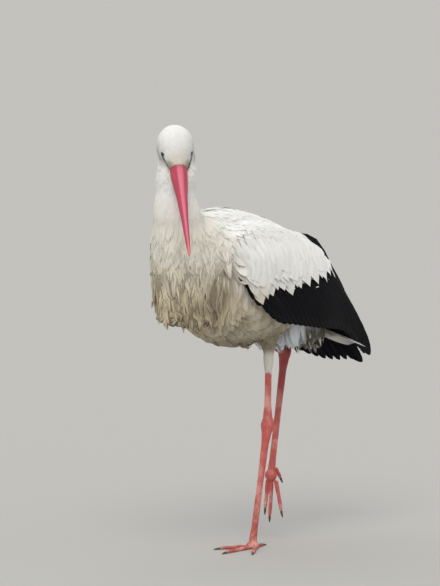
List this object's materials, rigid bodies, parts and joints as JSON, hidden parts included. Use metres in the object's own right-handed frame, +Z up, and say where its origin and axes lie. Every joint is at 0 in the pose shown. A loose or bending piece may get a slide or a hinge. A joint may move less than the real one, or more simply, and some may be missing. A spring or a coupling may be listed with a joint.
{
  "type": "white stork",
  "caption": "Still, life-size model of a walking white stork on one leg, neck drawn in, head turned to its left, bill pointing down.",
  "frame": {"origin": "on the floor, under the middle of the whole bird's box", "axes": "+Z up, the bird faces -Y, its left side is +X, its tail is +Y"},
  "size_m": [0.196, 0.6334, 0.7583],
  "materials": {
    "plumage_white": "matte",
    "plumage_cream": "matte",
    "plumage_black": "satin",
    "bill_horn": "satin",
    "leg_skin": "satin",
    "claw_horn": "satin",
    "eye": "gloss"
  },
  "bodies": {
    "root": {"head": "plumage_white", "neck": "plumage_white", "breast": "plumage_cream", "trunk": "plumage_white", "wing_left_flight": "plumage_black", "wing_left_coverts": "plumage_white", "wing_right_flight": "plumage_black", "wing_right_coverts": "plumage_white", "tail": "plumage_white", "thigh_left": "plumage_cream", "shank_left": "leg_skin", "tarsus_left": "leg_skin", "toe_left_inner": "leg_skin", "claw_left_inner": "claw_horn", "toe_left_middle": "leg_skin", "claw_left_middle": "claw_horn", "toe_left_outer": "leg_skin", "claw_left_outer": "claw_horn", "toe_left_hallux": "leg_skin", "claw_left_hallux": "claw_horn", "thigh_right": "plumage_cream", "shank_right": "leg_skin", "tarsus_right": "leg_skin", "toe_right_inner": "leg_skin", "claw_right_inner": "claw_horn", "toe_right_middle": "leg_skin", "claw_right_middle": "claw_horn", "toe_right_outer": "leg_skin", "claw_right_outer": "claw_horn", "toe_right_hallux": "leg_skin", "claw_right_hallux": "claw_horn", "bill_upper": "bill_horn", "bill_lower": "bill_horn", "eye_left": "eye", "eye_right": "eye"}
  },
  "joints": []
}
